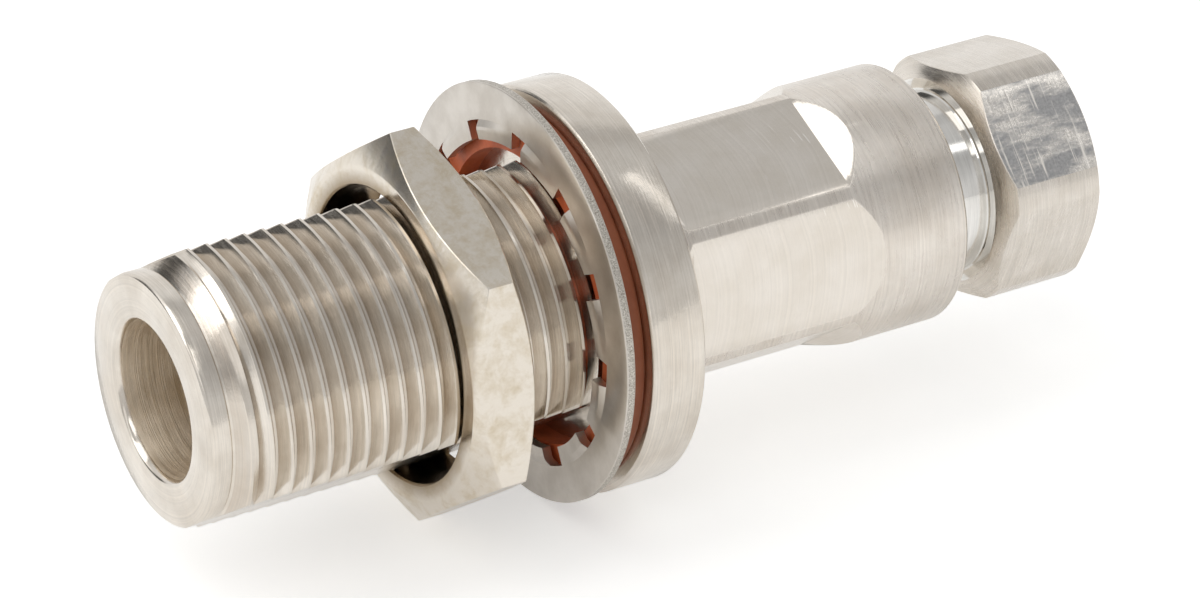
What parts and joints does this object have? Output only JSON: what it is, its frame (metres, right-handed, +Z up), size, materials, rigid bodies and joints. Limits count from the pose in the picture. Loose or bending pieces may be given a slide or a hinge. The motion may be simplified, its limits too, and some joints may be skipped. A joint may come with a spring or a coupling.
{
  "type": "coaxial bulkhead connector",
  "caption": "Straight threaded coaxial bulkhead jack with flange, panel gasket, lock washer, hexagon panel nut and clamping nut for a coaxial cable.",
  "frame": {"origin": "centre of the flange face that seats on the panel, on the axis of the connector", "axes": "+X along the axis from the mating end towards the cable end, +Z up and -Y towards the viewer as the connector lies in the picture"},
  "size_m": [0.0545, 0.0228, 0.0228],
  "materials": {
    "plated_body": "satin plated",
    "plated_nut": "satin plated",
    "washer_steel": "stamped",
    "silicone": "matte",
    "seal_rubber": "matte",
    "plated_contact": "polished plated",
    "insulator_plastic": "waxy"
  },
  "bodies": {
    "connector": {"connector_body": "plated_body", "panel_gasket": "silicone", "front_insulator": "insulator_plastic", "spacer_sleeve": "plated_body", "rear_insulator": "insulator_plastic", "contact_cone": "plated_body", "centre_contact": "plated_contact"},
    "washer": {"lock_washer": "washer_steel"},
    "nut_on_barrel": {"panel_nut": "plated_nut"},
    "clamp_ring_set": {"clamping_collet": "plated_nut", "thrust_washer": "plated_nut", "cable_seal": "seal_rubber"},
    "nut_on_collar": {"clamp_nut": "plated_nut"}
  },
  "joints": [
    {"name": "washer_slide", "type": "slide", "parent": "connector", "child": "washer", "axis": [-1, 0, 0], "range_m": [0, 0.004]},
    {"name": "panel_nut_travel", "type": "slide", "parent": "washer", "child": "nut_on_barrel", "axis": [-1, 0, 0], "range_m": [-0.0035, 0.0074]},
    {"name": "clamp_travel", "type": "slide", "parent": "connector", "child": "clamp_ring_set", "axis": [1, 0, 0], "range_m": [-0.0022, 0.0033]},
    {"name": "clamp_nut_turn", "type": "hinge", "parent": "clamp_ring_set", "child": "nut_on_collar", "pos_m": [0.0252, 0, 0], "axis": [1, 0, 0], "range_deg": [-1060, 1590]}
  ],
  "couplings": [
    {"joint": "clamp_nut_turn", "follows": "clamp_travel", "rad_per_m": 8377.6}
  ]
}
